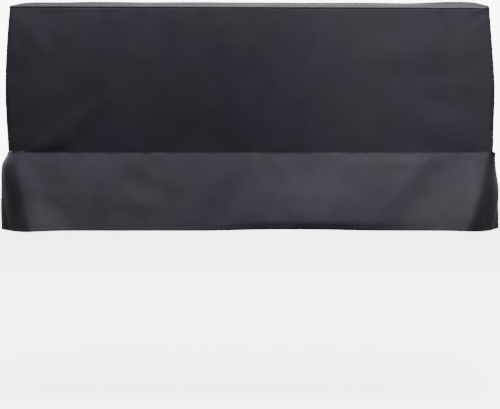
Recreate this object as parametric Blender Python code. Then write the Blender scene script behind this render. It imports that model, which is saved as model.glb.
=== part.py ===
"""Fitted half cover for an upright piano: seven sewn panels of coated cloth, draped as they hang.

The case that carries the cover isn't part of the model. The origin is the centre of the lid under the
cloth, the front faces -Y and +Z is up. Every panel is a thin closed solid. All panels are first laid out
on one straight-sided body with an L-shaped profile, which drape() then turns into the hanging shape, so
neighbouring panels share their seam lines. Sizes are in metres.
"""

import math

import bmesh
import bpy
from mathutils import Vector

# The case under the cloth
LID_HALF = 0.750  # half the lid's width
LID_FRONT = -0.180  # the lid's front edge
LID_BACK = 0.170  # the lid's back edge
CHEEK_INNER = 0.732  # inner edge of the raised block at each end of the keys
CHEEK_OUTER = 0.762  # where that block has its full height

# The straight-sided body that the panels are laid out on
HALF = 0.806  # half the cover's width along its top seams
FRONT_Y = -0.210  # seam between the top and the front panel
BACK_Y = 0.190  # seam between the top and the back panel
APRON_Y = -0.456  # the shelf's front seam
SHELF_Z = -0.508  # the level cloth over the key lid
HEM_Z = -0.7515  # the hem all round

# Cloth and seams
THICKNESS = 0.0020
SEAM_GAP = 0.0003  # between neighbouring panels

# How the cloth leaves the straight-sided body
FRONT_DROP = 0.0145  # the top's front margin slopes down by this much
DROP_TURN = 0.20  # a larger share of it on the right, a smaller one on the left
SIDE_DROP = 0.0090  # the top's side margins slope down by this much
BACK_DROP = 0.0080  # and its back margin by this much
DROP_FADE = 0.250  # height over which the walls take the drop up
LID_BEND = 0.008  # how softly the cloth bends over the lid's edge
FRONT_LEAN = 0.040  # the front panel's foot is pushed back by this much
LEAN_POWER = 1.8  # most of it near the foot
LEAN_TURN = 0.30  # a larger share of it on the left, a smaller one on the right
LEAN_MIDDLE = 0.24  # and a larger share where the cloth is slack
SLACK_X = -0.070  # the middle of the slack part
SLACK_WIDTH = 0.420  # and how far it reaches to each side
APRON_FLARE = 0.034  # the apron's foot stands forward of the shelf's seam
CHEEK_RISE_LEFT = 0.006  # the shelf is higher over the two end blocks
CHEEK_RISE_RIGHT = 0.002
HEM_SAG = 0.007  # the hem hangs lower at the apron's two ends
SEAM_REACH = 0.150  # how far a seam's shift carries into the panel beside it
FADE = 0.030  # folds die out this far from a seam

# Radii of the upright corners, seen from above
BACK_CORNER = 0.020
FRONT_CORNER = 0.018
SHELF_CORNER_LEFT = 0.055
SHELF_CORNER_RIGHT = 0.024
HEM_CORNER_LEFT = 0.120
HEM_CORNER_RIGHT = 0.148
CORNER_POWER = 1.35  # the key section's corners are nearer to a slanting flat than to an arc
CORNER_DEPTH = 0.25  # and at the hem they reach this much further back than inwards


def table(columns, *rows):
    """Rows of numbers under named columns."""
    return [dict(zip(columns, row)) for row in rows]


# Half widths of the cover, by height. The key section has its own width at each end, near its
# front; further back the two sides are alike, but the right one hangs out by "extra".
WIDTHS = table(
    ("z", "left", "right", "front", "middle", "back", "extra"),
    (0.000, 0.780, 0.780, 0.806, 0.806, 0.802, 0.000),
    (-0.140, 0.780, 0.780, 0.8185, 0.8235, 0.810, -0.0005),
    (-0.290, 0.780, 0.780, 0.8275, 0.8365, 0.817, 0.002),
    (-0.420, 0.775, 0.780, 0.827, 0.837, 0.818, 0.0015),
    (-0.508, 0.770, 0.777, 0.823, 0.835, 0.816, 0.004),
    (-0.550, 0.792, 0.782, 0.820, 0.829, 0.815, 0.005),
    (-0.630, 0.797, 0.803, 0.817, 0.823, 0.813, 0.004),
    (-0.760, 0.7970, 0.8255, 0.816, 0.820, 0.810, 0.003),
)
WIDTH_DEPTHS = [("key", -0.400), ("front", -0.190), ("middle", 0.000), ("back", BACK_Y)]

# Soft folds: each row is a ridge, or a trough if its height is negative. It is an ellipse that
# reaches from (a0, b0) to (a1, b1), "width" out to each side, and is highest in the middle.
# a is measured along X, or along Y on an end panel, and b along Z, or along Y on a level panel.
FOLD = ("a0", "b0", "a1", "b1", "width", "height")
TOP_FOLDS = table(
    FOLD,
    (-0.860, -0.178, 0.560, -0.178, 0.060, 0.0040),  # it stands off the lid's front edge
    (-0.800, -0.178, -0.300, -0.178, 0.055, 0.0034),
    (-0.840, -0.170, -0.620, -0.165, 0.060, 0.0025),  # and off its corners
    (0.520, -0.172, 0.860, -0.172, 0.070, 0.0056),
    (0.150, -0.178, 0.600, -0.176, 0.060, 0.0018),
    (-0.770, 0.080, -0.665, 0.200, 0.060, 0.0030),
    (0.770, 0.070, 0.655, 0.200, 0.060, 0.0035),
)
FRONT_FOLDS = table(
    FOLD,
    (-0.851, 0.027, -0.640, -0.202, 0.046, 0.0017),  # from the top left corner, inwards
    (-0.850, -0.150, -0.700, -0.175, 0.090, 0.0022),
    (-0.800, 0.010, -0.480, -0.090, 0.050, -0.0006),
    (-0.850, -0.645, -0.430, -0.285, 0.056, 0.0028),  # from the bottom left corner, inwards
    (0.300, -0.180, 0.820, -0.135, 0.105, 0.0018),  # a soft swell near the top right
    (0.860, 0.040, 0.690, -0.090, 0.028, -0.0010),  # crease at the top right corner
    (0.860, -0.500, 0.480, -0.370, 0.090, 0.0022),  # from the bottom right corner, inwards
)
SHELF_FOLDS = table(
    FOLD,
    (-1.400, -0.330, 1.400, -0.335, 0.130, -0.0030),  # sags between the key lid and its edge
    (-0.600, -0.320, -0.250, -0.350, 0.080, -0.0020),
    (0.300, -0.340, 0.620, -0.310, 0.080, -0.0020),
)
APRON_FOLDS = table(
    FOLD,
    (-0.722, -0.500, -0.662, -0.760, 0.042, 0.0032),  # beside the left end block
    (-0.790, -0.800, -0.540, -0.790, 0.150, 0.0180),  # the left foot swings forward
    (-0.480, -0.745, -0.340, -0.745, 0.060, 0.0028),
    (-0.420, -0.560, -0.230, -0.680, 0.055, -0.0022),
    (-0.440, -0.740, -0.180, -0.690, 0.055, -0.0012),
    (-0.080, -0.735, 0.420, -0.750, 0.200, 0.0112),  # a wide swell under the shelf's edge
    (0.720, -0.484, 0.400, -0.776, 0.075, -0.0052),
    (0.330, -0.537, 0.720, -0.537, 0.034, 0.0008),
    (-0.730, -0.515, -0.712, -0.670, 0.026, 0.0017),
    (0.748, -0.500, 0.682, -0.790, 0.046, 0.0048),  # beside the right end block
    (0.500, -0.800, 0.800, -0.790, 0.140, 0.0080),  # the right foot swings forward
    (0.580, -0.700, 0.775, -0.700, 0.110, 0.0050),
    (-0.300, -0.790, 0.460, -0.772, 0.060, -0.0080),  # the middle of the foot curls under
    (0.020, -0.785, 0.610, -0.775, 0.062, -0.0070),
)
HEM_LIFTS = table(
    FOLD,
    (-0.160, HEM_Z, 0.420, HEM_Z, 0.120, 0.0050),  # the hem rises where the foot curls under
)
LEFT_FOLDS = table(
    FOLD,
    (-0.105, 0.020, -0.145, -0.640, 0.065, 0.0070),
    (0.000, -0.150, 0.020, -1.300, 0.075, -0.0100),
    (0.110, -0.050, 0.095, -1.250, 0.070, 0.0090),
    (-0.175, -0.540, -0.085, -1.000, 0.075, 0.0110),
    (-0.245, -0.560, -0.205, -0.960, 0.055, -0.0090),
    (-0.340, -0.530, -0.290, -1.000, 0.065, 0.0090),
)
RIGHT_FOLDS = table(
    FOLD,
    (-0.105, 0.020, -0.145, -0.640, 0.065, 0.0070),
    (0.030, -0.120, 0.050, -1.320, 0.070, -0.0090),
    (0.135, -0.100, 0.115, -1.200, 0.055, 0.0070),
    (-0.060, -0.440, -0.030, -1.150, 0.060, 0.0080),
    (-0.165, -0.540, -0.135, -1.000, 0.060, -0.0080),
    (-0.255, -0.560, -0.230, -0.980, 0.060, 0.0090),
    (-0.345, -0.550, -0.330, -0.960, 0.045, -0.0060),
)
BACK_FOLDS = table(
    FOLD,
    (-0.570, -0.100, -0.480, -1.350, 0.110, 0.0110),
    (-0.170, -0.160, -0.250, -1.300, 0.120, -0.0100),
    (0.200, -0.100, 0.140, -1.350, 0.120, 0.0100),
    (0.550, -0.080, 0.620, -1.300, 0.110, -0.0090),
)

CLOTH_COLOUR = (0.047, 0.046, 0.057, 1.0)
CLOTH_ROUGHNESS = 0.55


def stations(start, *stretches):
    """Places along a line: each stretch is (where it ends, how many equal cells it has)."""
    places = [start]
    for end, cells in stretches:
        first = places[-1]
        places += [first + (end - first) * i / cells for i in range(1, cells)] + [end]
    return places


ACROSS = stations(-HALF, (-LID_HALF, 3), (LID_HALF, 31), (HALF, 3))
KEY_DEPTH = stations(APRON_Y, (APRON_Y + 0.03, 2), (FRONT_Y, 4))
TOP_DEPTH = stations(FRONT_Y, (LID_FRONT, 2), (LID_BACK, 6), (BACK_Y, 1))
UPPER = stations(0.0, (-0.06, 2), (-0.44, 9), (SHELF_Z, 2))
LOWER = stations(SHELF_Z, (-0.56, 2), (HEM_Z, 6))


def ease(t):
    """A smooth step from 0 to 1."""
    t = max(0.0, min(1.0, t))
    return t * t * (3.0 - 2.0 * t)


def hump(t):
    """A soft bump, 1 in the middle and 0 from 1 outwards."""
    return (1.0 - t * t) ** 2 if abs(t) < 1.0 else 0.0


def bend(distance, softness):
    """How far past a fold line a point is, with the fold itself rounded off."""
    if distance <= -softness:
        return 0.0
    if distance >= softness:
        return distance
    return (distance + softness) ** 2 / (4.0 * softness)


def width_at(column, z):
    """Half width at one depth, on a smooth curve through the table's heights."""
    rows = WIDTHS
    i = next((k for k in range(1, len(rows) - 1) if z > rows[k]["z"]), len(rows) - 1) - 1
    z0, z1 = rows[i]["z"], rows[i + 1]["z"]
    before, after = rows[max(i - 1, 0)], rows[min(i + 2, len(rows) - 1)]
    w0, w1 = rows[i][column], rows[i + 1][column]
    slope0 = (w1 - before[column]) / (z1 - before["z"])
    slope1 = (after[column] - w0) / (after["z"] - z0)
    t, span = (z - z0) / (z1 - z0), z1 - z0
    return (
        w0 * (1 + 2 * t) * (1 - t) ** 2
        + slope0 * span * t * (1 - t) ** 2
        + w1 * t * t * (3 - 2 * t)
        + slope1 * span * t * t * (t - 1)
    )


def half_width(x, y, z):
    """Distance of the side wall from the middle plane, at this depth and height."""
    ends = {"key": width_at("right" if x > 0 else "left", z)}
    extra = width_at("extra", z) if x > 0 else 0.0
    for column in ("front", "middle", "back"):
        ends[column] = width_at(column, z) + extra
    wide = ends["key"]
    for (near, y0), (far, y1) in zip(WIDTH_DEPTHS, WIDTH_DEPTHS[1:]):
        if y >= y0:
            wide = ends[near] + (ends[far] - ends[near]) * ease((y - y0) / (y1 - y0))
    return wide


def round_corners(x, y, z):
    """Rounds the upright corners; level panels are drawn in round them too."""
    power, deeper = 2.0, 1.0
    if z > SHELF_Z:
        front, radius = FRONT_Y, FRONT_CORNER * ease((z - SHELF_Z) / 0.08)
    else:
        drop = (SHELF_Z - z) / (SHELF_Z - HEM_Z)
        at_shelf = SHELF_CORNER_RIGHT if x > 0 else SHELF_CORNER_LEFT
        at_hem = HEM_CORNER_RIGHT if x > 0 else HEM_CORNER_LEFT
        front, radius = APRON_Y, at_shelf + (at_hem - at_shelf) * drop
        power, deeper = CORNER_POWER, 1.0 + CORNER_DEPTH * drop
    if y > 0:
        radius, power, deeper = BACK_CORNER, 2.0, 1.0
    if radius == 0.0:
        return x, y
    centre_x = max(-HALF + radius, min(HALF - radius, x))
    centre_y = max(front + radius * deeper, min(BACK_Y - BACK_CORNER, y))
    dx, dy = (x - centre_x) / radius, (y - centre_y) / (radius * deeper)
    if dx == 0.0 or dy == 0.0:
        return x, y
    shrink = max(abs(dx), abs(dy)) / (abs(dx) ** power + abs(dy) ** power) ** (1 / power)
    return centre_x + dx * shrink * radius, centre_y + dy * shrink * radius * deeper


def drape(x, y, z):
    """Where a point of the straight-sided body hangs, without its panel's folds."""
    x, y = round_corners(x, y, z)
    wide = x * half_width(x, y, z) / HALF
    below = SHELF_Z - z

    # The front panel leans back towards its foot, and the apron stands forward of the shelf
    lean = 1.0 - LEAN_TURN * x / HALF + LEAN_MIDDLE * hump((x - SLACK_X) / SLACK_WIDTH)
    lean *= FRONT_LEAN * min(1.0, z / SHELF_Z) ** LEAN_POWER * (1.0 - ease(below / 0.10))
    down = max(0.0, below / (SHELF_Z - HEM_Z))
    flare = APRON_FLARE * (1.4 * down - 0.4 * down * down)
    deep = y + lean * (1.0 - ease(abs(y - FRONT_Y) / SEAM_REACH))
    deep -= flare * (1.0 - ease((y - APRON_Y) / SEAM_REACH))

    # The top's margins slope down past the lid, and the walls hang from them
    drop = FRONT_DROP * (1.0 + DROP_TURN * x / HALF)
    drop *= bend(LID_FRONT - y, LID_BEND) / (LID_FRONT - FRONT_Y)
    drop += BACK_DROP * bend(y - LID_BACK, LID_BEND) / (BACK_Y - LID_BACK)
    sideways = SIDE_DROP * bend(abs(x) - LID_HALF, LID_BEND) / (HALF - LID_HALF)
    high = z - math.hypot(drop, sideways) * max(0.0, 1.0 + z / DROP_FADE)

    # The shelf climbs over the two end blocks, most at its front edge
    climb = ease((abs(x) - CHEEK_INNER) / (CHEEK_OUTER - CHEEK_INNER))
    forward = max(0.0, min(1.0, (FRONT_Y - y) / (FRONT_Y - APRON_Y)))
    rise = CHEEK_RISE_RIGHT if x > 0 else CHEEK_RISE_LEFT
    high += rise * climb * forward * (1.0 - ease(below / 0.10))

    # The hem sags at the two front corners
    corner = ease((abs(x) - 0.60) / 0.20) * (1.0 - ease((y - APRON_Y) / 0.40))
    high -= HEM_SAG * corner * ease(below / 0.20)
    return Vector((wide, deep, high + THICKNESS / 2))


def fold_height(folds, a, b):
    """Sum of the soft ridges and troughs at a point."""
    total = 0.0
    for fold in folds:
        half = Vector((fold["a1"] - fold["a0"], fold["b1"] - fold["b0"])) / 2
        to = Vector((a - fold["a0"], b - fold["b0"])) - half
        along = to.dot(half) / half.length_squared
        aside = to.cross(half) / half.length / fold["width"]
        off = along * along + aside * aside
        if off < 1.0:
            total += fold["height"] * (1.0 - off) ** 2
    return total


def level_fade(x, y, front, back):
    return ease(min(HALF - abs(x), y - front, back - y) / FADE)


def side_fade(y, z):
    """Fades a side's folds near its seams, the step in its front edge included."""
    step = math.hypot(max(0.0, y - FRONT_Y), max(0.0, SHELF_Z - z))
    return ease(min(-z, BACK_Y - y, y - APRON_Y, step) / FADE)


def top_relief(x, y, z):
    return Vector((0, 0, fold_height(TOP_FOLDS, x, y) * level_fade(x, y, FRONT_Y, BACK_Y)))


def shelf_relief(x, y, z):
    return Vector((0, 0, fold_height(SHELF_FOLDS, x, y) * level_fade(x, y, APRON_Y, FRONT_Y)))


def front_relief(x, y, z):
    fade = ease(min(HALF - abs(x), -z, z - SHELF_Z) / FADE)
    return Vector((0, -fold_height(FRONT_FOLDS, x, z) * fade, 0))


def apron_relief(x, y, z):
    fade = ease(min(HALF - abs(x), SHELF_Z - z) / FADE)
    lift = fold_height(HEM_LIFTS, x, z) * fade
    return Vector((0, -fold_height(APRON_FOLDS, x, z) * fade, lift))


def back_relief(x, y, z):
    fade = ease(min(HALF - abs(x), -z) / FADE)
    return Vector((0, fold_height(BACK_FOLDS, x, z) * fade, 0))


def side_relief(x, y, z):
    out = fold_height(RIGHT_FOLDS if x > 0 else LEFT_FOLDS, y, z) * side_fade(y, z)
    return Vector((out * math.copysign(1.0, x), 0, 0))


def grid(columns, rows):
    """Corners of each cell of a grid, two by two, anticlockwise from above."""
    for a0, a1 in zip(columns, columns[1:]):
        for b0, b1 in zip(rows, rows[1:]):
            yield (a0, b0), (a1, b0), (a1, b1), (a0, b1)


def level_cells(depths, z):
    return [[(a, b, z) for a, b in cell] for cell in grid(ACROSS, depths)]


def wall_cells(y, heights):
    """Cells of an upright panel, facing the front; heights run downwards."""
    return [[(a, y, b) for a, b in reversed(cell)] for cell in grid(ACROSS, heights)]


def side_cells(x):
    """Cells of an L-shaped end panel, facing +X on the right and -X on the left."""
    cells = list(grid(TOP_DEPTH, UPPER + LOWER[1:])) + list(grid(KEY_DEPTH, LOWER))
    order = reversed if x > 0 else list
    return [[(x, a, b) for a, b in order(cell)] for cell in cells]


PANELS = [
    {"name": "top_panel", "cells": level_cells(TOP_DEPTH, 0.0), "relief": top_relief},
    {"name": "front_panel", "cells": wall_cells(FRONT_Y, UPPER), "relief": front_relief},
    {"name": "key_shelf", "cells": level_cells(KEY_DEPTH, SHELF_Z), "relief": shelf_relief},
    {"name": "apron", "cells": wall_cells(APRON_Y, LOWER), "relief": apron_relief},
    {"name": "left_side", "cells": side_cells(-HALF), "relief": side_relief},
    {"name": "right_side", "cells": side_cells(HALF), "relief": side_relief},
    {
        "name": "back_panel",
        "cells": [cell[::-1] for cell in wall_cells(BACK_Y, UPPER + LOWER[1:])],
        "relief": back_relief,
    },
]


def lay_out():
    """One mesh of all the panels' middle surfaces, joined along their seams."""
    cover = bmesh.new()
    panel_of = cover.faces.layers.int.new("panel")
    placed = {}
    for number, panel in enumerate(PANELS):
        for cell in panel["cells"]:
            for point in cell:
                if point not in placed:
                    placed[point] = cover.verts.new(drape(*point) + panel["relief"](*point))
            cover.faces.new([placed[point] for point in cell])[panel_of] = number
    cover.normal_update()
    return cover


def into_panel(vert, faces):
    """Unit steps from a border point into its own panel, added up."""
    shared = {edge: sum(face in faces for face in edge.link_faces) for edge in vert.link_edges}
    inner = [edge for edge, count in shared.items() if count == 2]
    border = [edge for edge, count in shared.items() if count == 1]
    steps = [(edge.other_vert(vert).co - vert.co).normalized() for edge in inner or border]
    return sum(steps, Vector())


def halves(face):
    """The two triangles of a cell, split along its shorter diagonal."""
    a, b, c, d = face.verts
    if (a.co - c.co).length <= (b.co - d.co).length:
        return (a, b, c), (a, c, d)
    return (a, b, d), (b, c, d)


def rim_halves(rim, first):
    """The two triangles of a rim's cell, split the same way on both sides of a seam."""
    a, b, c, d = rim
    return ((a, b, d), (b, c, d)) if first else ((a, b, c), (a, c, d))


def cut_panel(cover, number, name):
    """Cuts one panel out of the joined surface, a seam gap smaller, and gives it its thickness."""
    panel_of = cover.faces.layers.int["panel"]
    faces = {face for face in cover.faces if face[panel_of] == number}
    solid = bmesh.new()
    outer, inner = {}, {}
    for vert in sorted({vert for face in faces for vert in face.verts}, key=lambda v: v.index):
        here = vert.co.copy()
        if any(face not in faces for face in vert.link_faces) or vert.is_boundary:
            here += into_panel(vert, faces) * SEAM_GAP * 0.7
        offset = vert.normal * vert.calc_shell_factor() * THICKNESS / 2
        outer[vert] = solid.verts.new(here + offset)
        inner[vert] = solid.verts.new(here - offset)
    for face in sorted(faces, key=lambda f: f.index):
        for half in halves(face):
            solid.faces.new([outer[vert] for vert in half])
            solid.faces.new([inner[vert] for vert in reversed(half)])
        for loop in face.loops:
            a, b = loop.vert, loop.link_loop_next.vert
            if sum(other in faces for other in loop.edge.link_faces) == 1:
                rim = [outer[b], outer[a], inner[a], inner[b]]
                for half in rim_halves(rim, a.index < b.index):
                    solid.faces.new(half)
    mesh = bpy.data.meshes.new(name)
    solid.to_mesh(mesh)
    solid.free()
    return mesh


def cloth(name):
    """Smooth coated cloth, dark slate with a hint of violet."""
    material = bpy.data.materials.new(name)
    material.use_nodes = True
    shader = material.node_tree.nodes["Principled BSDF"]
    shader.inputs["Base Color"].default_value = CLOTH_COLOUR
    shader.inputs["Roughness"].default_value = CLOTH_ROUGHNESS
    shader.inputs["Metallic"].default_value = 0.0
    return material


def build():
    for item in list(bpy.data.objects):
        bpy.data.objects.remove(item, do_unlink=True)
    cover = lay_out()
    cover.verts.index_update()
    cover.faces.index_update()
    for number, panel in enumerate(PANELS):
        name = panel["name"]
        mesh = cut_panel(cover, number, name)
        mesh.materials.append(cloth(name + "_cloth"))
        mesh.shade_smooth()
        bpy.context.collection.objects.link(bpy.data.objects.new(name, mesh))
    cover.free()


build()
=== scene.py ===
import math

import bmesh
import bpy
from mathutils import Matrix, Vector, noise
from mathutils.bvhtree import BVHTree


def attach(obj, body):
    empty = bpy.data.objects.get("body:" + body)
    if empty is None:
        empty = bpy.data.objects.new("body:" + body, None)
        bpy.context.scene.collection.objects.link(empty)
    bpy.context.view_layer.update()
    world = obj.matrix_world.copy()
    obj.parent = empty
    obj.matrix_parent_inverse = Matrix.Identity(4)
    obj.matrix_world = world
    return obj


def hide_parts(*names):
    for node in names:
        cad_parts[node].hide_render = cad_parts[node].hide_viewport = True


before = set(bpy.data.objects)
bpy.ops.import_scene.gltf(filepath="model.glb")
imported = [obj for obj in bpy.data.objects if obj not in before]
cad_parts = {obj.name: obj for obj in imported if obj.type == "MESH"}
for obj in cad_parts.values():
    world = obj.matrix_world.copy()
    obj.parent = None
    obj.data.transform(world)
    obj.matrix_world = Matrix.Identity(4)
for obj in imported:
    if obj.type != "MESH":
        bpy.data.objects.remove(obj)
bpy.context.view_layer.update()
bpy.ops.object.select_all(action="DESELECT")
print("frame loaded")


# The cover is laid out on a straight-sided body, metres, and drape() gives it its hang
body = {
    "half": 0.806,  # half the width along the top seams
    "frontY": -0.210,
    "backY": 0.190,
    "apronY": -0.456,
    "shelfZ": -0.508,
    "hemZ": -0.7515,
    "middle": 0.001,  # the cloth's middle surface stands this far off the lid
    "lidHalf": 0.750,  # the flat part of the top, on the piano's lid
    "lidFront": -0.180,
    "lidBack": 0.170,
    "lidBend": 0.008,  # the top bends down over twice this length
    "cheekInner": 0.732,  # the raised blocks at the two ends of the keys
    "cheekOuter": 0.762,
    "cheekRises": (0.006, 0.002),  # left and right
    "frontDrop": 0.0145,  # how far the top's margins slope down
    "dropTurn": 0.20,  # the front one is steeper on the right
    "sideDrop": 0.009,
    "backDrop": 0.008,
    "dropFade": 0.250,  # the slope's pull on the walls is gone this far down
    "frontLean": 0.040,  # how far the front panel's foot is pushed back
    "leanPower": 1.8,  # most of it near the foot
    "leanTurn": 0.30,  # the left end leans more
    "leanMiddle": 0.24,  # and so does the slack middle, this much more within this width of this place
    "slackWidth": 0.420,
    "slackX": -0.070,
    "belowShelf": 0.100,  # the lean and the end blocks die out this far below the shelf
    "apronFlare": 0.034,  # how far the hem stands out in front
    "flareBulge": 0.4,  # the flare is steeper near the shelf
    "seamReach": 0.150,  # the lean and the flare die out this far behind the panel
    "hemSag": 0.007,  # the hem's front corners hang this much lower
    "sagFrom": 0.600,  # from here outwards
    "sagGrows": 0.200,
    "sagDepth": 0.400,
    "sagHeight": 0.200,
    "frontCorner": 0.018,  # radii of the upright corners
    "cornerStarts": 0.080,  # the front one grows over this height above the shelf
    "backCorner": 0.020,
    "shelfCorners": (0.055, 0.024),  # left and right
    "hemCorners": (0.120, 0.148),
    "cornerPower": 1.35,  # the key section's corners are nearer to a slanting flat than to an arc
    "cornerDepth": 0.25,  # and at the hem they reach this much further back than inwards
    "foldFade": 0.030,  # folds die out this near to a sewn edge
    # half widths by height: key section left and right, front, middle, back, extra on the right.
    # They hold at the four depths given below, and run softly from one to the next.
    "widths": [
        (0.000, 0.780, 0.780, 0.806, 0.806, 0.802, 0.000),
        (-0.140, 0.780, 0.780, 0.8185, 0.8235, 0.810, -0.0005),
        (-0.290, 0.780, 0.780, 0.8275, 0.8365, 0.817, 0.002),
        (-0.420, 0.775, 0.780, 0.827, 0.837, 0.818, 0.0015),
        (-0.508, 0.770, 0.777, 0.823, 0.835, 0.816, 0.004),
        (-0.550, 0.792, 0.782, 0.820, 0.829, 0.815, 0.005),
        (-0.630, 0.797, 0.803, 0.817, 0.823, 0.813, 0.004),
        (-0.760, 0.7970, 0.8255, 0.816, 0.820, 0.810, 0.003),
    ],
    "widthDepths": [-0.400, -0.190, 0.000, 0.190],
}


def ease(t):
    t = max(0.0, min(1.0, t))
    return t * t * (3.0 - 2.0 * t)


def hump(t):
    return (1.0 - t * t) ** 2 if abs(t) < 1.0 else 0.0


def bend(distance, softness):
    if distance <= -softness:
        return 0.0
    if distance >= softness:
        return distance
    return (distance + softness) ** 2 / (4.0 * softness)


def spread(start, *stretches):  # each stretch is (end, cell size)
    places = [start]
    for end, cell in stretches:
        first = places[-1]
        count = max(1, round(abs(end - first) / cell))
        places += [first + (end - first) * i / count for i in range(1, count)] + [end]
    return places


widthCache = {}


def widthsAt(z):  # a smooth curve through the rows of body["widths"]
    if z not in widthCache:
        rows = body["widths"]
        i = next((k for k in range(1, len(rows) - 1) if z > rows[k][0]), len(rows) - 1) - 1
        here, after = rows[i], rows[i + 1]
        before, beyond = rows[max(i - 1, 0)], rows[min(i + 2, len(rows) - 1)]
        span = after[0] - here[0]
        t = (z - here[0]) / span
        found = []
        for k in range(1, 7):
            slope0 = (after[k] - before[k]) / (after[0] - before[0])
            slope1 = (beyond[k] - here[k]) / (beyond[0] - here[0])
            found.append(
                here[k] * (1 + 2 * t) * (1 - t) ** 2
                + slope0 * span * t * (1 - t) ** 2
                + after[k] * t * t * (3 - 2 * t)
                + slope1 * span * t * t * (t - 1)
            )
        widthCache[z] = found
    return widthCache[z]


def halfWidth(x, y, z):
    left, right, front, middle, back, extra = widthsAt(z)
    extra = extra if x > 0 else 0.0
    ends = [right if x > 0 else left, front + extra, middle + extra, back + extra]
    depths = body["widthDepths"]
    wide = ends[0]
    for i in range(3):
        if y >= depths[i]:
            wide = ends[i] + (ends[i + 1] - ends[i]) * ease((y - depths[i]) / (depths[i + 1] - depths[i]))
    return wide


def roundCorners(x, y, z):
    power, deeper = 2.0, 1.0
    if z > body["shelfZ"]:
        front = body["frontY"]
        radius = body["frontCorner"] * ease((z - body["shelfZ"]) / body["cornerStarts"])
    else:
        front = body["apronY"]
        drop = (body["shelfZ"] - z) / (body["shelfZ"] - body["hemZ"])
        atShelf, atHem = body["shelfCorners"][x > 0], body["hemCorners"][x > 0]
        radius = atShelf + (atHem - atShelf) * drop
        power, deeper = body["cornerPower"], 1.0 + body["cornerDepth"] * drop
    if y > 0:
        radius, power, deeper = body["backCorner"], 2.0, 1.0
    if radius == 0.0:
        return x, y
    centreX = max(-body["half"] + radius, min(body["half"] - radius, x))
    centreY = max(front + radius * deeper, min(body["backY"] - body["backCorner"], y))
    dx, dy = (x - centreX) / radius, (y - centreY) / (radius * deeper)
    if dx == 0.0 or dy == 0.0:
        return x, y
    shrink = max(abs(dx), abs(dy)) / (abs(dx) ** power + abs(dy) ** power) ** (1 / power)
    return centreX + dx * shrink * radius, centreY + dy * shrink * radius * deeper


def drape(x, y, z):  # where a point of the straight-sided body hangs
    x, y = roundCorners(x, y, z)
    wide = x * halfWidth(x, y, z) / body["half"]
    below = body["shelfZ"] - z
    lean = 1.0 - body["leanTurn"] * x / body["half"]
    lean += body["leanMiddle"] * hump((x - body["slackX"]) / body["slackWidth"])
    lean *= body["frontLean"]
    lean *= min(1.0, z / body["shelfZ"]) ** body["leanPower"] * (1.0 - ease(below / body["belowShelf"]))
    down = max(0.0, below / (body["shelfZ"] - body["hemZ"]))
    bulge = body["flareBulge"]
    flare = body["apronFlare"] * ((1.0 + bulge) * down - bulge * down * down)
    deep = y + lean * (1.0 - ease(abs(y - body["frontY"]) / body["seamReach"]))
    deep -= flare * (1.0 - ease((y - body["apronY"]) / body["seamReach"]))
    soft = body["lidBend"]
    drop = body["frontDrop"] * (1.0 + body["dropTurn"] * x / body["half"])
    drop *= bend(body["lidFront"] - y, soft) / (body["lidFront"] - body["frontY"])
    drop += body["backDrop"] * bend(y - body["lidBack"], soft) / (body["backY"] - body["lidBack"])
    sideways = body["sideDrop"] * bend(abs(x) - body["lidHalf"], soft) / (body["half"] - body["lidHalf"])
    high = z - math.hypot(drop, sideways) * max(0.0, 1.0 + z / body["dropFade"])
    climb = ease((abs(x) - body["cheekInner"]) / (body["cheekOuter"] - body["cheekInner"]))
    forward = max(0.0, min(1.0, (body["frontY"] - y) / (body["frontY"] - body["apronY"])))
    high += body["cheekRises"][x > 0] * climb * forward * (1.0 - ease(below / body["belowShelf"]))
    corner = ease((abs(x) - body["sagFrom"]) / body["sagGrows"])
    corner *= 1.0 - ease((y - body["apronY"]) / body["sagDepth"])
    high -= body["hemSag"] * corner * ease(below / body["sagHeight"])
    return Vector((wide, deep, high + body["middle"]))


def foldHeight(folds, a, b):  # fold rows are (a0, b0, a1, b1, width, height), soft ellipses
    total = 0.0
    for a0, b0, a1, b1, width, height in folds:
        length = math.hypot(a1 - a0, b1 - b0) / 2
        alongA, alongB = (a1 - a0) / (2 * length), (b1 - b0) / (2 * length)
        toA, toB = a - (a0 + a1) / 2, b - (b0 + b1) / 2
        u = (toA * alongA + toB * alongB) / length
        v = (toA * alongB - toB * alongA) / width
        off = u * u + v * v
        if off < 1.0:
            total += height * (1.0 - off) ** 2
    return total


# What every sewn edge does, metres
seam = {
    # The cloth turns in at a seam by this much, and stands out a little at the shelf's front edge
    "rolls": {"plain": 0.0013, "topstitched": 0.0013, "flat": 0.0, "lip": -0.0004},
    "rollWidth": 0.0045,
    "allowance": 0.0005,  # the turned-in edge lifts the cloth beside the top seam
    "allowanceAt": 0.0042,
    "allowanceWidth": 0.0030,
    "stitchAt": 0.0075,  # the row of stitches that holds it down
    "stitchDip": 0.0006,
    "stitchWidth": 0.0024,
    "pucker": 0.0007,  # small uneven gathers along a seam
    "puckerStart": 0.006,
    "puckerReach": 0.030,
    "puckerSize": (0.022, 0.060),  # along the seam and away from it
    "reach": 0.035,  # no seam shows further off than this
}
hem = {
    "fold": 0.0140,  # the cloth is doubled up to here
    "thins": 0.0100,  # and thins out from here
    "thicker": 0.0007,
    "swell": 0.0003,  # the doubled cloth stands out this much, dying out above this height
    "swellTop": 0.008,
    "swellFade": 0.006,
    "stitchAt": 0.0125,
    "stitchDip": 0.0003,
    "stitchWidth": 0.0022,
    "round": 0.0012,  # radius of the folded edge
    "edgeShare": 0.35,  # of the thickness is left at the very edge
}
cloth = {
    "outside": 0.0009,  # thickness on each side of the middle surface
    "inside": 0.0006,
    "creaseFade": 0.045,  # creases and slack die out this near to a sewn edge
    "slackSize": 0.190,
    "fineSlackSize": 0.080,
    "fineSlack": 0.2,  # share of the finer slack
    "sharpAngle": 50,  # degrees, an edge sharper than this isn't smoothed over
}


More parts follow.
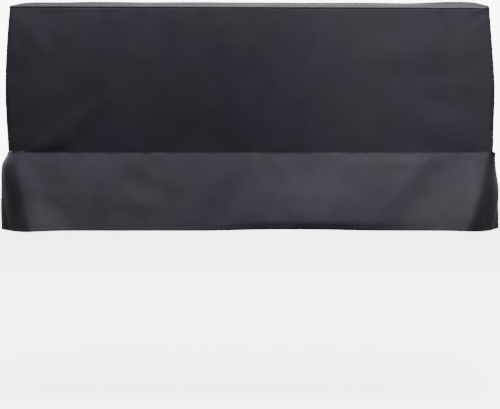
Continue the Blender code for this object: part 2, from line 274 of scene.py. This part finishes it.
def unevenness(u, v, size, seed):
    return noise.noise(Vector((u / size, v / size, seed)))


def seamRelief(distance, along, seed, kind):
    t = distance / seam["rollWidth"]
    height = -seam["rolls"][kind] * (1.0 - t) ** 2 if t < 1.0 else 0.0
    if kind == "topstitched":
        height += seam["allowance"] * hump((distance - seam["allowanceAt"]) / seam["allowanceWidth"])
        height -= seam["stitchDip"] * hump((distance - seam["stitchAt"]) / seam["stitchWidth"])
    if distance < seam["puckerReach"]:
        fade = ease(distance / seam["puckerStart"]) * (1.0 - ease(distance / seam["puckerReach"]))
        long, deep = seam["puckerSize"]
        height += seam["pucker"] * fade * noise.noise(Vector((along / long, distance / deep, seed)))
    return height


def hemRelief(z):
    up = z - body["hemZ"]
    height = hem["swell"] * (1.0 - ease((up - hem["swellTop"]) / hem["swellFade"]))
    return height - hem["stitchDip"] * hump((up - hem["stitchAt"]) / hem["stitchWidth"])


# One dictionary for each panel. Its folds and creases are ridges, or troughs where the height is
# negative, in the panel's own two coordinates. Creases are the small ones that only the cloth has.
topPanel = {
    "name": "topCloth",
    "node": "top_panel",
    "flat": (1.630, 0.420),
    "held": "laid",
    "folds": [
        (-0.860, -0.178, 0.560, -0.178, 0.060, 0.0040),  # it stands off the lid's front edge
        (-0.800, -0.178, -0.300, -0.178, 0.055, 0.0034),
        (-0.840, -0.170, -0.620, -0.165, 0.060, 0.0025),  # and off its corners
        (0.520, -0.172, 0.860, -0.172, 0.070, 0.0056),
        (0.150, -0.178, 0.600, -0.176, 0.060, 0.0018),
        (-0.770, 0.080, -0.665, 0.200, 0.060, 0.0030),
        (0.770, 0.070, 0.655, 0.200, 0.060, 0.0035),
    ],
    "creases": [
        (-0.690, -0.060, -0.560, 0.060, 0.030, 0.0012),
        (-0.240, -0.090, -0.080, 0.070, 0.036, -0.0010),
        (0.180, 0.060, 0.420, -0.040, 0.034, 0.0011),
        (0.560, 0.080, 0.650, -0.090, 0.030, -0.0010),
    ],
    "slack": 0.0007,
}
frontPanel = {
    "name": "frontCloth",
    "node": "front_panel",
    "flat": (1.660, 0.515),
    "held": "hung",
    "hangsFrom": ["topCloth"],
    "folds": [
        (-0.851, 0.027, -0.640, -0.202, 0.046, 0.0017),  # from the top left corner, inwards
        (-0.850, -0.150, -0.700, -0.175, 0.090, 0.0022),
        (-0.800, 0.010, -0.480, -0.090, 0.050, -0.0006),
        (-0.850, -0.645, -0.430, -0.285, 0.056, 0.0028),  # from the bottom left corner, inwards
        (0.300, -0.180, 0.820, -0.135, 0.105, 0.0018),  # a soft swell near the top right
        (0.860, 0.040, 0.690, -0.090, 0.028, -0.0010),  # crease at the top right corner
        (0.860, -0.500, 0.480, -0.370, 0.090, 0.0022),  # from the bottom right corner, inwards
    ],
    "creases": [],
    "slack": 0.0007,
}
keyShelf = {
    "name": "shelfCloth",
    "node": "key_shelf",
    "flat": (1.660, 0.305),
    "held": "laid",
    "hangsFrom": ["frontCloth"],
    "folds": [
        (-1.400, -0.330, 1.400, -0.335, 0.130, -0.0030),  # sags between the key lid and its edge
        (-0.600, -0.320, -0.250, -0.350, 0.080, -0.0020),
        (0.300, -0.340, 0.620, -0.310, 0.080, -0.0020),
    ],
    "creases": [
        (-0.700, -0.240, -0.620, -0.400, 0.028, 0.0012),
        (0.690, -0.240, 0.640, -0.390, 0.028, 0.0012),
    ],
    "slack": 0.0008,
}
apron = {
    "name": "apronCloth",
    "node": "apron",
    "flat": (1.600, 0.280),
    "held": "hung",
    "hangsFrom": ["shelfCloth"],
    "folds": [
        (-0.722, -0.500, -0.662, -0.760, 0.042, 0.0032),  # beside the left end block
        (-0.790, -0.800, -0.540, -0.790, 0.150, 0.0180),  # the left foot swings forward
        (-0.480, -0.745, -0.340, -0.745, 0.060, 0.0028),
        (-0.420, -0.560, -0.230, -0.680, 0.055, -0.0022),
        (-0.440, -0.740, -0.180, -0.690, 0.055, -0.0012),
        (-0.080, -0.735, 0.420, -0.750, 0.200, 0.0112),  # a wide swell under the shelf's edge
        (0.720, -0.484, 0.400, -0.776, 0.075, -0.0052),
        (0.330, -0.537, 0.720, -0.537, 0.034, 0.0008),  # rounds over the end of the shelf's edge
        (-0.730, -0.515, -0.712, -0.670, 0.026, 0.0017),
        (0.748, -0.500, 0.682, -0.790, 0.046, 0.0048),  # beside the right end block
        (0.500, -0.800, 0.800, -0.790, 0.140, 0.0080),  # the right foot swings forward
        (0.580, -0.700, 0.775, -0.700, 0.110, 0.0050),
        (-0.300, -0.790, 0.460, -0.772, 0.060, -0.0080),  # the middle of the foot curls under
        (0.020, -0.785, 0.610, -0.775, 0.062, -0.0070),
    ],
    "rises": [(-0.160, body["hemZ"], 0.420, body["hemZ"], 0.120, 0.0050)],  # the hem rises where it curls
    "creases": [],
    "slack": 0.0007,
}
leftSide = {
    "name": "leftCloth",
    "node": "left_side",
    "flat": (0.680, 0.775),
    "area": 0.395,
    "held": "hung",
    "hangsFrom": ["topCloth"],
    "folds": [
        (-0.105, 0.020, -0.145, -0.640, 0.065, 0.0070),
        (0.000, -0.150, 0.020, -1.300, 0.075, -0.0100),
        (0.110, -0.050, 0.095, -1.250, 0.070, 0.0090),
        (-0.175, -0.540, -0.085, -1.000, 0.075, 0.0110),
        (-0.245, -0.560, -0.205, -0.960, 0.055, -0.0090),
        (-0.340, -0.530, -0.290, -1.000, 0.065, 0.0090),
    ],
    "creases": [
        (-0.170, -0.060, -0.060, -0.170, 0.026, 0.0016),
        (0.150, -0.080, 0.080, -0.190, 0.024, 0.0012),
        (-0.205, -0.500, -0.110, -0.600, 0.026, -0.0016),
    ],
    "slack": 0.0009,
}
rightSide = {
    "name": "rightCloth",
    "node": "right_side",
    "flat": (0.680, 0.775),
    "area": 0.395,
    "held": "hung",
    "hangsFrom": ["topCloth"],
    "folds": [
        (-0.105, 0.020, -0.145, -0.640, 0.065, 0.0070),
        (0.030, -0.120, 0.050, -1.320, 0.070, -0.0090),
        (0.135, -0.100, 0.115, -1.200, 0.055, 0.0070),
        (-0.060, -0.440, -0.030, -1.150, 0.060, 0.0080),
        (-0.165, -0.540, -0.135, -1.000, 0.060, -0.0080),
        (-0.255, -0.560, -0.230, -0.980, 0.060, 0.0090),
        (-0.345, -0.550, -0.330, -0.960, 0.045, -0.0060),
    ],
    "creases": [
        (-0.180, -0.050, -0.080, -0.150, 0.026, 0.0015),
        (0.160, -0.060, 0.060, -0.210, 0.026, 0.0013),
        (-0.205, -0.500, -0.130, -0.620, 0.028, -0.0016),
    ],
    "slack": 0.0009,
}
backPanel = {
    "name": "backCloth",
    "node": "back_panel",
    "flat": (1.650, 0.775),
    "held": "hung",
    "hangsFrom": ["topCloth"],
    "folds": [
        (-0.570, -0.100, -0.480, -1.350, 0.110, 0.0110),
        (-0.170, -0.160, -0.250, -1.300, 0.120, -0.0100),
        (0.200, -0.100, 0.140, -1.350, 0.120, 0.0100),
        (0.550, -0.080, 0.620, -1.300, 0.110, -0.0090),
    ],
    "creases": [
        (-0.770, -0.050, -0.640, -0.200, 0.034, 0.0020),
        (0.770, -0.050, 0.660, -0.190, 0.034, 0.0020),
    ],
    "slack": 0.0010,
}


def seamDistances(panel, x, y, z):  # to each sewn edge: (distance, place along it, kind of seam)
    side = body["half"] - abs(x)
    if panel is topPanel:
        return [(side, y, "plain"), (y - body["frontY"], x, "plain"), (body["backY"] - y, x, "plain")]
    if panel is frontPanel:
        return [(side, z, "plain"), (-z, x, "topstitched"), (z - body["shelfZ"], x, "plain")]
    if panel is keyShelf:
        return [(side, y, "plain"), (y - body["apronY"], x, "lip"), (body["frontY"] - y, x, "plain")]
    if panel is apron:
        return [(side, z, "flat"), (body["shelfZ"] - z, x, "lip")]
    if panel is backPanel:
        return [(side, z, "plain"), (-z, x, "topstitched")]
    step = math.hypot(max(0.0, y - body["frontY"]), max(0.0, body["shelfZ"] - z))
    back, front = body["backY"] - y, y - body["apronY"]
    return [(-z, y, "topstitched"), (back, z, "plain"), (front, z, "flat"), (step, y + z, "plain")]


def panelPlane(panel, x, y, z):  # the panel's own two coordinates, and the way it faces
    if panel is topPanel or panel is keyShelf:
        return x, y, Vector((0, 0, 1))
    if panel is leftSide or panel is rightSide:
        return y, z, Vector((math.copysign(1.0, x), 0, 0))
    return x, z, Vector((0, 1 if panel is backPanel else -1, 0))


def place(panel, x, y, z):  # the middle surface with its folds, before seams and creases
    a, b, out = panelPlane(panel, x, y, z)
    edges = seamDistances(panel, x, y, z)
    fade = ease(min(edge[0] for edge in edges) / body["foldFade"])
    point = drape(x, y, z) + out * foldHeight(panel["folds"], a, b) * fade
    point.z += foldHeight(panel.get("rises", []), a, b) * fade
    return point


def smallRelief(panel, x, y, z):  # creases, slack, seams and hem, as a height on the middle surface
    a, b, _ = panelPlane(panel, x, y, z)
    edges = seamDistances(panel, x, y, z)
    nearest = min(edges)
    fade = ease(nearest[0] / cloth["creaseFade"])
    seed = panels.index(panel) * 3.7 + 0.4  # every panel gets a stretch of noise of its own
    slack = unevenness(a, b, cloth["slackSize"], seed)
    slack += cloth["fineSlack"] * unevenness(a, b, cloth["fineSlackSize"], seed + 9)
    height = foldHeight(panel["creases"], a, b) * fade + panel["slack"] * fade * slack
    for number, (distance, along, kind) in enumerate(edges):
        if distance < seam["reach"]:
            height += seamRelief(distance, along, seed + number, kind)
    if nearest[0] <= 1e-9:  # on the seam itself, where two panels share their points
        height = -seam["rolls"][nearest[2]]
    if panel not in (topPanel, frontPanel, keyShelf):
        height += hemRelief(z)
    return height


# The places where the cloth is cut into cells, finest beside seams and hem
half = body["half"]
acrossPlaces = spread(
    -half,
    (-half + 0.014, 0.002),
    (-body["lidHalf"], 0.0042),
    (body["lidHalf"], 0.006),
    (half - 0.014, 0.0042),
    (half, 0.002),
)
topPlaces = spread(
    body["frontY"],
    (-0.196, 0.002),
    (-0.165, 0.0035),
    (0.160, 0.007),
    (0.178, 0.0036),
    (body["backY"], 0.002),
)
keyPlaces = spread(
    body["apronY"],
    (-0.446, 0.002),
    (-0.430, 0.004),
    (-0.222, 0.007),
    (body["frontY"], 0.003),
)
upperPlaces = spread(
    0.0,
    (-0.0132, 0.0011),
    (-0.040, 0.003),
    (-0.490, 0.007),
    (body["shelfZ"], 0.003),
)
lowerPlaces = spread(
    body["shelfZ"],
    (-0.520, 0.002),
    (-0.532, 0.004),
    (-0.730, 0.007),
    (-0.7490, 0.0016),
    (-0.7502, 0.0012),
    (-0.7508, 0.0006),
    (-0.7512, 0.0004),
    (body["hemZ"], 0.0003),
)
wallPlaces = upperPlaces + lowerPlaces[1:]


def cells(columns, rows):
    for a0, a1 in zip(columns, columns[1:]):
        for b0, b1 in zip(rows, rows[1:]):
            yield (a0, b0), (a1, b0), (a1, b1), (a0, b1)


def levelCells(depths, z):
    return [[(a, b, z) for a, b in cell] for cell in cells(acrossPlaces, depths)]


def wallCells(y, heights):
    return [[(a, y, b) for a, b in reversed(cell)] for cell in cells(acrossPlaces, heights)]


def sideCells(x):
    order = reversed if x > 0 else list
    patches = list(cells(topPlaces, wallPlaces)) + list(cells(keyPlaces, lowerPlaces))
    return [[(x, a, b) for a, b in order(cell)] for cell in patches]


panels = [topPanel, frontPanel, keyShelf, apron, leftSide, rightSide, backPanel]
layout = [
    levelCells(topPlaces, 0.0),
    wallCells(body["frontY"], upperPlaces),
    levelCells(keyPlaces, body["shelfZ"]),
    wallCells(body["apronY"], lowerPlaces),
    sideCells(-half),
    sideCells(half),
    [cell[::-1] for cell in wallCells(body["backY"], wallPlaces)],
]


def layOut():  # all the panels' middle surfaces in one mesh, joined along their seams
    whole = bmesh.new()
    panelOf = whole.faces.layers.int.new("panel")
    lift = whole.verts.layers.float.new("lift")
    high = whole.verts.layers.float.new("height")
    placed = {}
    for number, panel in enumerate(panels):
        for cell in layout[number]:
            for point in cell:
                if point not in placed:
                    vert = whole.verts.new(place(panel, *point))
                    vert[lift] = smallRelief(panel, *point)
                    vert[high] = point[2] - body["hemZ"]
                    placed[point] = vert
            whole.faces.new([placed[point] for point in cell])[panelOf] = number
    whole.normal_update()
    moves = [(vert, vert.normal * vert[lift]) for vert in whole.verts]
    for vert, move in moves:
        vert.co += move
    whole.normal_update()
    whole.verts.index_update()
    whole.faces.index_update()
    return whole


def cutPanel(whole, number, panel):  # one panel out of the joined surface, given its thickness
    panelOf = whole.faces.layers.int["panel"]
    high = whole.verts.layers.float["height"]
    own = {face for face in whole.faces if face[panelOf] == number}
    sheet = bmesh.new()
    outer, inner = {}, {}
    for vert in sorted({v for f in own for v in f.verts}, key=lambda v: v.index):
        up = vert[high]
        factor = vert.calc_shell_factor()
        edge = min(1.0, up / hem["round"])
        rounding = hem["edgeShare"] + (1.0 - hem["edgeShare"]) * math.sqrt(1.0 - (1.0 - edge) ** 2)
        double = hem["thicker"] * (1.0 - ease((up - hem["thins"]) / (hem["fold"] - hem["thins"])))
        outer[vert] = sheet.verts.new(vert.co + vert.normal * factor * cloth["outside"] * rounding)
        inner[vert] = sheet.verts.new(vert.co - vert.normal * factor * (cloth["inside"] + double) * rounding)
    for face in sorted(own, key=lambda f: f.index):
        sheet.faces.new([outer[vert] for vert in face.verts])
        sheet.faces.new([inner[vert] for vert in reversed(face.verts)]).material_index = 1
        for loop in face.loops:
            a, b = loop.vert, loop.link_loop_next.vert
            if sum(other in own for other in loop.edge.link_faces) == 1:
                sheet.faces.new([outer[b], outer[a], inner[a], inner[b]])
    mesh = bpy.data.meshes.new(panel["name"])
    sheet.to_mesh(mesh)
    sheet.free()
    piece = bpy.data.objects.new(panel["name"], mesh)
    bpy.context.collection.objects.link(piece)
    bpy.ops.object.select_all(action="DESELECT")
    piece.select_set(True)
    bpy.context.view_layer.objects.active = piece
    bpy.ops.object.shade_smooth_by_angle(angle=math.radians(cloth["sharpAngle"]))
    return piece


def linear(code):  # an sRGB hex value as linear colour
    parts = [int(code[i : i + 2], 16) / 255 for i in (1, 3, 5)]
    return [c / 12.92 if c <= 0.04045 else ((c + 0.055) / 1.055) ** 2.4 for c in parts] + [1.0]


def addNode(tree, kind, settings=None, links=None):  # keys are properties, or sockets by name or number
    node = tree.nodes.new(kind)
    for key, value in (settings or {}).items():
        if isinstance(key, int) or key in node.inputs:
            node.inputs[key].default_value = value
        else:
            setattr(node, key, value)
    for socket, source in (links or {}).items():
        tree.links.new(source, node.inputs[socket])
    return node


def newMaterial(name):
    material = bpy.data.materials.new(name)
    material.use_nodes = True
    tree = material.node_tree
    return material, tree, tree.nodes["Principled BSDF"]


# Coated suede-like polyester: a brushed face with a fine nap, sealed by a thin coat. It looks
# dark and even, with a soft grazing sheen and faint clouds where the nap lies differently.
suede = {
    "dark": ("#3a3745", "#3a3840"),  # violet slate where the nap lies one way, plain slate the other
    "light": ("#413c4c", "#403e46"),
    "rubbed": "#4a4955",
    "napSize": 0.0026,  # the real nap is under a millimetre, drawn coarser so that it shows
    "napDepth": 0.00012,
    "napStrength": 0.6,
    "cloudSize": 0.075,  # faint clouds, and broader patches of violet and plain slate
    "tintSize": 0.33,
    "coarse": 0.55,  # how rough the patterns themselves are
    "tintRange": (0.40, 0.60),  # the part of each pattern that runs from one look to the other
    "toneRange": (0.35, 0.65),
    "rubbedRange": (0.55, 0.80),
    "shineRange": (0.30, 0.70),
    "rubbedMost": 0.35,  # how far the tips of the nap go towards the rubbed colour
    "roughness": (0.50, 0.62),
    "specular": 0.4,
    "sheen": 0.12,
    "sheenRoughness": 0.45,
    "sheenTint": "#d4d0e6",
}


def suedeCloth():
    material, tree, shader = newMaterial("coatedSuedeCloth")
    where = addNode(tree, "ShaderNodeTexCoord").outputs["Object"]
    patterns = []
    for size, detail in ((suede["napSize"], 3.0), (suede["cloudSize"], 4.0), (suede["tintSize"], 1.5)):
        settings = {"Scale": 1 / size, "Detail": detail, "Roughness": suede["coarse"]}
        patterns.append(addNode(tree, "ShaderNodeTexNoise", settings, {"Vector": where}).outputs["Fac"])
    nap, cloud, patch = patterns
    amounts = []
    for source, limits, ends in (
        (patch, suede["tintRange"], (0.0, 1.0)),
        (cloud, suede["toneRange"], (0.0, 1.0)),
        (nap, suede["rubbedRange"], (0.0, suede["rubbedMost"])),
        (cloud, suede["shineRange"], suede["roughness"]),
    ):
        settings = {"From Min": limits[0], "From Max": limits[1], "To Min": ends[0], "To Max": ends[1]}
        amounts.append(addNode(tree, "ShaderNodeMapRange", settings, {"Value": source}).outputs["Result"])
    tint, tone, rubbed, roughness = amounts
    tones = []
    for first, second in (suede["dark"], suede["light"]):
        settings = {"data_type": "RGBA", 6: linear(first), 7: linear(second)}
        tones.append(addNode(tree, "ShaderNodeMix", settings, {0: tint}).outputs[2])
    base = addNode(tree, "ShaderNodeMix", {"data_type": "RGBA"}, {0: tone, 6: tones[0], 7: tones[1]})
    settings = {"data_type": "RGBA", 7: linear(suede["rubbed"])}
    flecked = addNode(tree, "ShaderNodeMix", settings, {0: rubbed, 6: base.outputs[2]})
    relief = {"Strength": suede["napStrength"], "Distance": suede["napDepth"]}
    bump = addNode(tree, "ShaderNodeBump", relief, {"Height": nap})
    tree.links.new(flecked.outputs[2], shader.inputs["Base Color"])
    tree.links.new(roughness, shader.inputs["Roughness"])
    tree.links.new(bump.outputs["Normal"], shader.inputs["Normal"])
    shader.inputs["Specular IOR Level"].default_value = suede["specular"]
    shader.inputs["Sheen Weight"].default_value = suede["sheen"]
    shader.inputs["Sheen Roughness"].default_value = suede["sheenRoughness"]
    shader.inputs["Sheen Tint"].default_value = linear(suede["sheenTint"])
    return material


# The cloth's reverse, left uncoated: a charcoal knit, matt, with a fine uneven face of loops
knit = {
    "dark": "#2a2a2e",
    "light": "#3c3b40",
    "loopSize": 0.0030,  # real loops are under a millimetre, drawn coarser so that they show
    "loopDepth": 0.0002,
    "loopStrength": 0.7,
    "roughness": 0.9,
    "specular": 0.2,
}


def knitBacking():
    material, tree, shader = newMaterial("knittedBacking")
    where = addNode(tree, "ShaderNodeTexCoord").outputs["Object"]
    settings = {"Scale": 1 / knit["loopSize"], "Detail": 2.0}
    loops = addNode(tree, "ShaderNodeTexNoise", settings, {"Vector": where}).outputs["Fac"]
    settings = {"data_type": "RGBA", 6: linear(knit["dark"]), 7: linear(knit["light"])}
    tone = addNode(tree, "ShaderNodeMix", settings, {0: loops})
    relief = {"Strength": knit["loopStrength"], "Distance": knit["loopDepth"]}
    bump = addNode(tree, "ShaderNodeBump", relief, {"Height": loops})
    tree.links.new(tone.outputs[2], shader.inputs["Base Color"])
    tree.links.new(bump.outputs["Normal"], shader.inputs["Normal"])
    shader.inputs["Roughness"].default_value = knit["roughness"]
    shader.inputs["Specular IOR Level"].default_value = knit["specular"]
    return material


# Lockstitch in polyester sewing thread: each stitch dips into the cloth at both ends
stitch = {
    "pitch": 0.0042,
    "length": 0.0034,
    "thickness": 0.0008,  # the real thread is half a millimetre, drawn coarser so that it shows
    "sides": 6,
    "ends": [(0.14, 0.10, 0.90), (0.09, 0.40, 0.65)],  # forward, down and how much narrower
    "dark": "#24222a",
    "light": "#2d2b34",
    "twistSize": 0.0012,  # the strands of the thread
    "roughness": 0.5,
    "specular": 0.45,
    "cornerRoom": 0.010,  # a row stops this far from an upright seam
    "dropFrom": 0.020,  # each stitch is dropped onto the cloth from this far off
}


def sewingThread():
    material, tree, shader = newMaterial("polyesterSewingThread")
    where = addNode(tree, "ShaderNodeTexCoord").outputs["Object"]
    settings = {"Scale": 1 / stitch["twistSize"], "Detail": 1.0}
    twist = addNode(tree, "ShaderNodeTexNoise", settings, {"Vector": where}).outputs["Fac"]
    settings = {"data_type": "RGBA", 6: linear(stitch["dark"]), 7: linear(stitch["light"])}
    tone = addNode(tree, "ShaderNodeMix", settings, {0: twist})
    tree.links.new(tone.outputs[2], shader.inputs["Base Color"])
    shader.inputs["Roughness"].default_value = stitch["roughness"]
    shader.inputs["Specular IOR Level"].default_value = stitch["specular"]
    return material


def modelStitch():  # one stitch along X, made once
    long, thick = stitch["length"], stitch["thickness"]
    straight = long * (1.0 - 2.0 * sum(end[0] for end in stitch["ends"]))
    bpy.ops.object.select_all(action="DESELECT")
    bpy.ops.mesh.primitive_cylinder_add(
        vertices=stitch["sides"],
        radius=thick / 2,
        depth=straight,
        end_fill_type="NOTHING",
        rotation=(0, math.pi / 2, 0),
    )
    model = bpy.context.active_object
    bpy.ops.object.transform_apply(location=False, rotation=True, scale=True)
    bpy.ops.object.mode_set(mode="EDIT")
    bpy.ops.mesh.select_mode(type="VERT")
    for way in (-1, 1):
        bpy.ops.mesh.select_all(action="DESELECT")
        picked = bmesh.from_edit_mesh(model.data)
        for vert in picked.verts:
            vert.select = way * vert.co.x > 0
        picked.select_flush(True)
        bmesh.update_edit_mesh(model.data)
        for forward, down, narrower in stitch["ends"]:
            shift = (way * forward * long, 0, -down * thick)
            bpy.ops.mesh.extrude_region_move(TRANSFORM_OT_translate={"value": shift})
            bpy.ops.transform.resize(value=(1, narrower, narrower))
        bpy.ops.mesh.edge_face_add()
    bpy.ops.mesh.select_all(action="SELECT")
    bpy.ops.mesh.normals_make_consistent(inside=False)
    bpy.ops.object.mode_set(mode="OBJECT")
    ordered = bmesh.new()  # the extrudes leave the faces in no fixed order, so they get one here
    ordered.from_mesh(model.data)
    ordered.faces.sort(key=lambda face: sum(2 ** vert.index for vert in face.verts))
    ordered.to_mesh(model.data)
    ordered.free()
    return model


def stitchRows(panel):  # where the machine ran, as places on the straight-sided body
    inset = half - stitch["cornerRoom"]
    top, low = -seam["stitchAt"], body["hemZ"] + hem["stitchAt"]
    along = spread(-inset, (inset, stitch["pitch"]))
    if panel is frontPanel:
        return [[(x, body["frontY"], top) for x in along]]
    if panel is apron:
        return [[(x, body["apronY"], low) for x in along]]
    if panel is backPanel:
        return [[(x, body["backY"], z) for x in along] for z in (top, low)]
    if panel is leftSide or panel is rightSide:
        x = half if panel is rightSide else -half
        rows = []
        for front, z in ((body["frontY"], top), (body["apronY"], low)):
            back = body["backY"] - stitch["cornerRoom"]
            depths = spread(front + stitch["cornerRoom"], (back, stitch["pitch"]))
            rows.append([(x, y, z) for y in depths])
        return rows
    return []


def sew(panel, piece, model):  # copies of the stitch laid along the panel's rows
    points = [vert.co for vert in piece.data.vertices]
    surface = BVHTree.FromPolygons(points, [face.vertices for face in piece.data.polygons])
    sewn = bmesh.new()
    for row in stitchRows(panel):
        places = [place(panel, *point) for point in row]
        for start, end, point in zip(places, places[1:], row):
            out = panelPlane(panel, *point)[2]
            above = (start + end) / 2 + out * stitch["dropFrom"]
            found, normal, _, _ = surface.ray_cast(above, -out)
            if found is None:
                continue
            along = (end - start).normalized()
            across = normal.cross(along).normalized()
            turn = Matrix((across.cross(normal), across, normal)).transposed().to_4x4()
            first = len(sewn.verts)
            sewn.from_mesh(model.data)
            sewn.verts.ensure_lookup_table()
            bmesh.ops.transform(sewn, matrix=Matrix.Translation(found) @ turn, verts=sewn.verts[first:])
    mesh = bpy.data.meshes.new(panel["name"].replace("Cloth", "Stitches"))
    sewn.to_mesh(mesh)
    sewn.free()
    thread = bpy.data.objects.new(mesh.name, mesh)
    bpy.context.collection.objects.link(thread)
    mesh.shade_smooth()
    return thread


suedeLook, backingLook, threadLook = suedeCloth(), knitBacking(), sewingThread()
whole = layOut()
stitchModel = modelStitch()
print("cover laid out:", len(whole.verts), "points")
for number, panel in enumerate(panels):
    piece = cutPanel(whole, number, panel)
    piece.data.materials.append(suedeLook)
    piece.data.materials.append(backingLook)
    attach(piece, "root")
    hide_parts(panel["node"])
    if stitchRows(panel):
        thread = sew(panel, piece, stitchModel)
        thread.data.materials.append(threadLook)
        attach(thread, "root")
    print(panel["name"], len(piece.data.polygons), "faces")
whole.free()
bpy.data.objects.remove(stitchModel, do_unlink=True)


# Studio: a pale floor and room, one large lamp above the front, small ones at the front and behind
studio = {
    "floorZ": -1.31,  # the piano's lid is this far above the floor
    "floorSize": 30,
    "floorY": 6,
    "paper": "#f2f2f2",
    "paperRoughness": 0.9,
    "paperGlow": 4.5,
    "ambient": 0.11,  # what the room gives the cloth
    "backdrop": 9.0,  # and what the camera sees of it
    "camera": (0.0, -3.81, -0.545),
    "pitch": 2.12,  # degrees, looking down
    "lens": 76.9,
    "sensor": 36,
    "shift": 0.001,
}
lamps = [  # name, place, what it looks at, size, watts, colour
    ("topLight", (0.4, -2.6, 7.4), (0.1, -0.3, -0.3), (4.6, 2.6), 1235, "#ffffff"),
    ("rightLight", (0.42, -1.30, -0.08), (1.315, -0.90, -0.28), (0.5, 0.5), 3.4, "#fff9ec"),
    ("fillLight", (0.0, -4.4, 0.3), (0.0, 0.0, -0.4), (3.4, 1.8), 3, "#ffffff"),
    ("backLight", (0.2, 1.9, 1.75), (0.15, 0.0, 0.0), (1.9, 0.9), 50, "#fff8ee"),
    ("leftRearLight", (-3.1, 3.2, 0.4), (-0.7, 0.0, -0.4), (2.0, 2.0), 62, "#ffffff"),
    ("rightRearLight", (3.1, 3.2, 0.4), (0.7, 0.0, -0.4), (2.0, 2.0), 62, "#ffffff"),
]

floorPlace = (0, studio["floorY"], studio["floorZ"])
bpy.ops.mesh.primitive_plane_add(size=studio["floorSize"], location=floorPlace)
floor = bpy.context.active_object
floor.name = "floor"
paper, _, shader = newMaterial("palePaper")
shader.inputs["Base Color"].default_value = linear(studio["paper"])
shader.inputs["Roughness"].default_value = studio["paperRoughness"]
shader.inputs["Emission Color"].default_value = (1, 1, 1, 1)
shader.inputs["Emission Strength"].default_value = studio["paperGlow"]
floor.data.materials.append(paper)
floor.visible_diffuse = False
floor.visible_glossy = False

world = bpy.data.worlds.new("studioWorld")
bpy.context.scene.world = world
world.use_nodes = True
tree = world.node_tree
tree.nodes.clear()
path = addNode(tree, "ShaderNodeLightPath")
levels = {"To Min": studio["ambient"], "To Max": studio["backdrop"]}
strength = addNode(tree, "ShaderNodeMapRange", levels, {"Value": path.outputs["Is Camera Ray"]})
white = {"Color": (1, 1, 1, 1)}
sky = addNode(tree, "ShaderNodeBackground", white, {"Strength": strength.outputs["Result"]})
addNode(tree, "ShaderNodeOutputWorld", links={"Surface": sky.outputs["Background"]})

for name, where, target, size, watts, colour in lamps:
    bpy.ops.object.light_add(type="AREA", location=where)
    lamp = bpy.context.active_object
    lamp.name = name
    lamp.rotation_euler = (Vector(target) - Vector(where)).to_track_quat("-Z", "Y").to_euler()
    lamp.data.shape = "RECTANGLE"
    lamp.data.size, lamp.data.size_y = size
    lamp.data.energy = watts
    lamp.data.color = linear(colour)[:3]
    lamp.visible_camera = False

tilt = math.radians(90 - studio["pitch"])
bpy.ops.object.camera_add(location=studio["camera"], rotation=(tilt, 0, 0))
camera = bpy.context.active_object
camera.data.lens = studio["lens"]
camera.data.sensor_width = studio["sensor"]
camera.data.shift_x = studio["shift"]
camera.data.dof.use_dof = False
bpy.context.scene.camera = camera
print("studio set")
